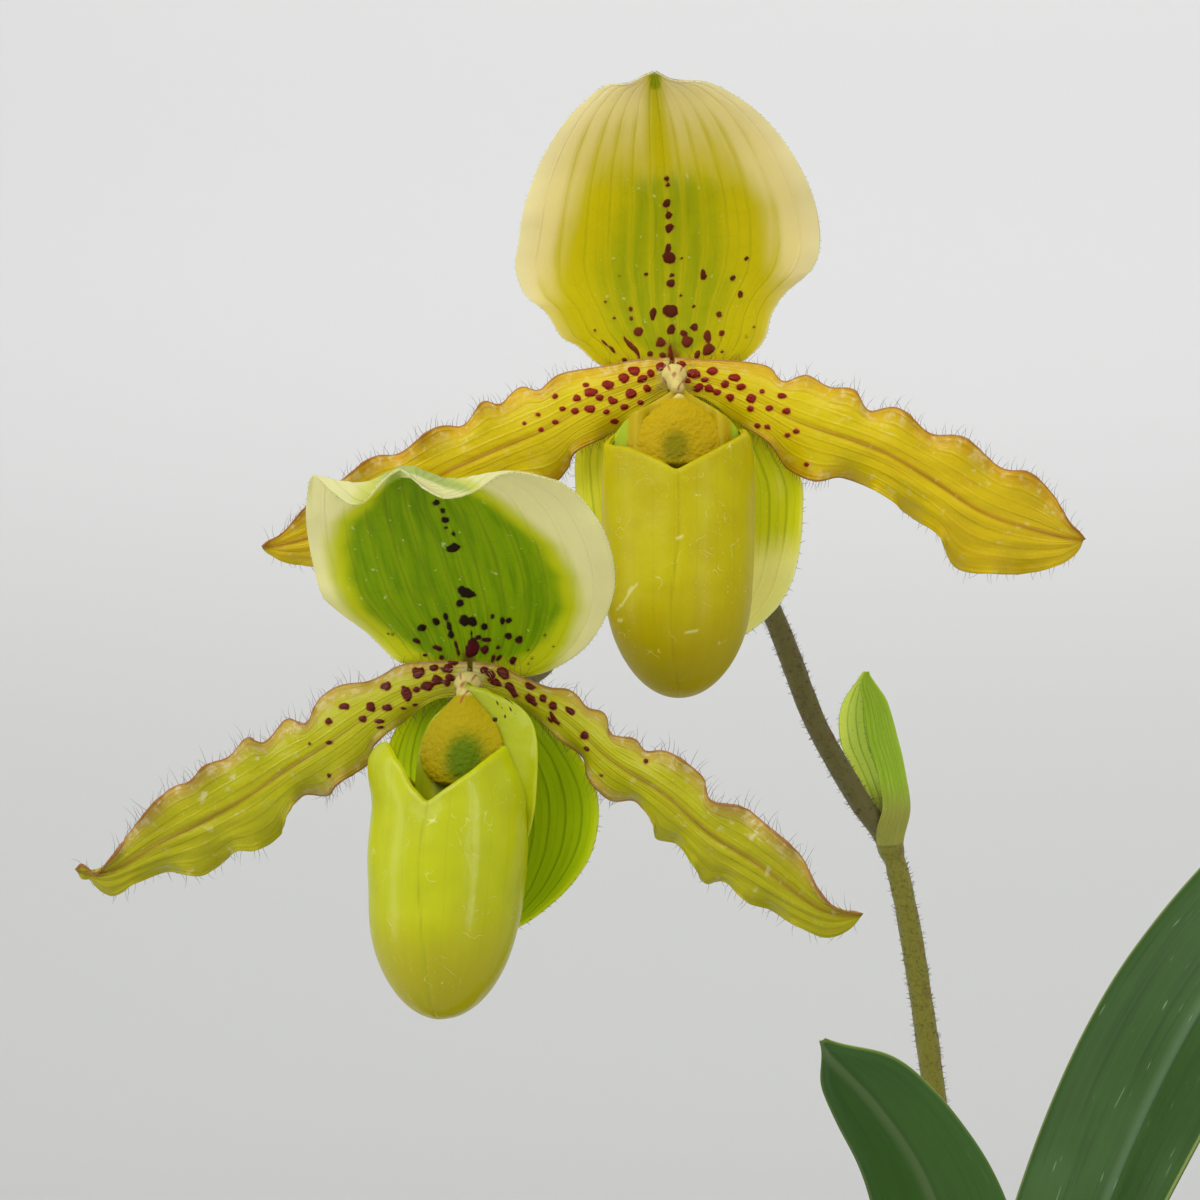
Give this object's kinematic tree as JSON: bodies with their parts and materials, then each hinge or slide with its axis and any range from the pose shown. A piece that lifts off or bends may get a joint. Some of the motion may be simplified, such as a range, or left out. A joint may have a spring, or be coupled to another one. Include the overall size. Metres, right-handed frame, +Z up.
{
  "type": "paphiopedilum orchid",
  "caption": "Slipper orchid in a plain pot of bark: arching scape with spotted hooded sepals, waved drooping petals and deep pouches over a fan of strap leaves.",
  "frame": {"origin": "centre of the pot's base, on the surface that it stands on", "axes": "+Z up; -Y is the side that the blooms face; +X is to the right as the blooms are looked at"},
  "size_m": [0.2522, 0.1305, 0.296],
  "materials": {
    "terracotta": "matte",
    "fir_bark": "matte",
    "crown_tissue": "matte",
    "velvet_stem": "matte",
    "bract_green": "satin",
    "dorsal_tissue": "satin",
    "sepal_green": "satin",
    "petal_gold": "gloss",
    "petal_green": "gloss",
    "pouch_tissue": "gloss",
    "column_tissue": "satin",
    "leaf_green": "satin"
  },
  "bodies": {
    "root": {"pot": "terracotta", "potting_bark": "fir_bark", "crown": "crown_tissue", "scape": "velvet_stem", "scape_bract": "bract_green", "rachis_bract": "bract_green", "upper_ovary": "velvet_stem", "front_ovary": "velvet_stem", "upper_dorsal_sepal": "dorsal_tissue", "upper_synsepal": "sepal_green", "upper_petal_left": "petal_gold", "upper_petal_right": "petal_gold", "upper_pouch": "pouch_tissue", "upper_column": "column_tissue", "front_dorsal_sepal": "dorsal_tissue", "front_synsepal": "sepal_green", "front_petal_left": "petal_green", "front_petal_right": "petal_green", "front_pouch": "pouch_tissue", "front_column": "column_tissue", "leaf_front": "leaf_green", "leaf_left_long": "leaf_green", "leaf_left_old": "leaf_green", "leaf_back_right": "leaf_green", "leaf_right_low": "leaf_green", "leaf_right_old": "leaf_green"}
  },
  "joints": []
}
